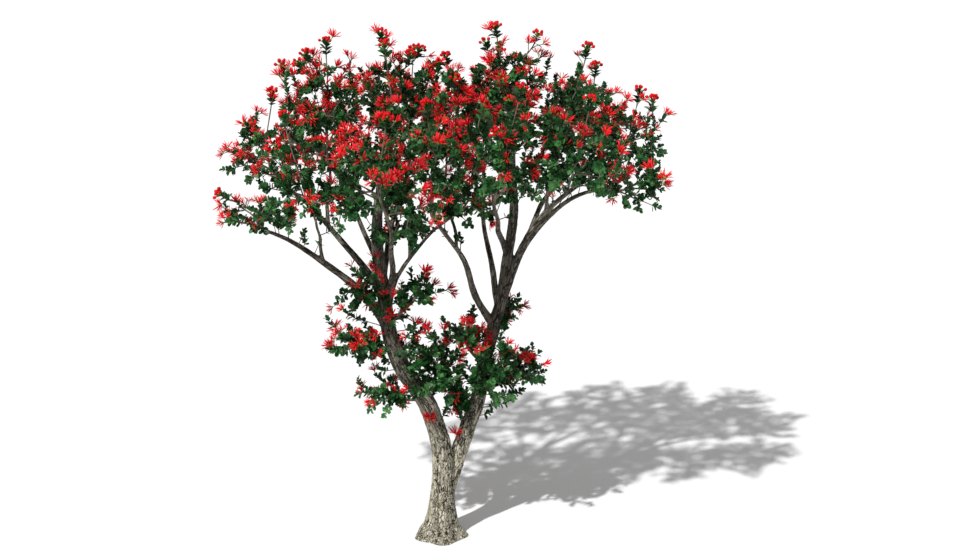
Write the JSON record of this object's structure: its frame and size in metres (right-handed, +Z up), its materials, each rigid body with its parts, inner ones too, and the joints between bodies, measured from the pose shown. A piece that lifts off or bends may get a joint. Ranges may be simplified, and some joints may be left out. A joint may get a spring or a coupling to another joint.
{
  "type": "ohia lehua tree",
  "caption": "Forked flowering tree rooted in the ground: flared trunk, leaning stems, rising boughs and masses of leafy twigs with red blossoms.",
  "frame": {"origin": "middle of the flat cut under the trunk, at ground level", "axes": "+Z up; +X to the tree's right as the picture shows it; +Y away from the viewer"},
  "size_m": [2.9449, 2.2994, 3.5143],
  "materials": {
    "bark": "rough, fissured",
    "foliage": "small glossy leaves",
    "blossom": "fine matt stamens"
  },
  "bodies": {
    "root": {"trunk": "bark", "left_stem": "bark", "right_stem": "bark", "left_leader": "bark", "right_leader": "bark", "far_left_bough": "bark", "left_riser": "bark", "left_bough": "bark", "left_high_bough": "bark", "back_left_bough": "bark", "front_left_bough": "bark", "rear_left_bough": "bark", "centre_bough": "bark", "centre_riser": "bark", "inner_bough": "bark", "inner_riser": "bark", "rear_right_bough": "bark", "front_right_bough": "bark", "right_low_bough": "bark", "right_low_riser": "bark", "right_bough": "bark", "right_riser": "bark", "right_back_bough": "bark", "foliage_far_left": "foliage", "foliage_left": "foliage", "foliage_left_front": "foliage", "foliage_left_top": "foliage", "foliage_left_back": "foliage", "foliage_front_left": "foliage", "foliage_rear_left": "foliage", "foliage_centre_left": "foliage", "foliage_centre_low": "foliage", "foliage_inner_left": "foliage", "foliage_front": "foliage", "foliage_centre": "foliage", "foliage_rear_right": "foliage", "foliage_front_right": "foliage", "foliage_right_top": "foliage", "foliage_right_high": "foliage", "foliage_right_front": "foliage", "foliage_right": "foliage", "foliage_right_low": "foliage", "foliage_right_back": "foliage", "sprout_left_low": "foliage", "sprout_left_foot": "foliage", "sprout_far_left": "foliage", "sprout_leader": "foliage", "sprout_high": "foliage", "sprout_inner": "foliage", "sprout_middle": "foliage", "sprout_fork": "foliage", "sprout_right": "foliage", "sprout_right_high": "foliage"}
  },
  "joints": []
}
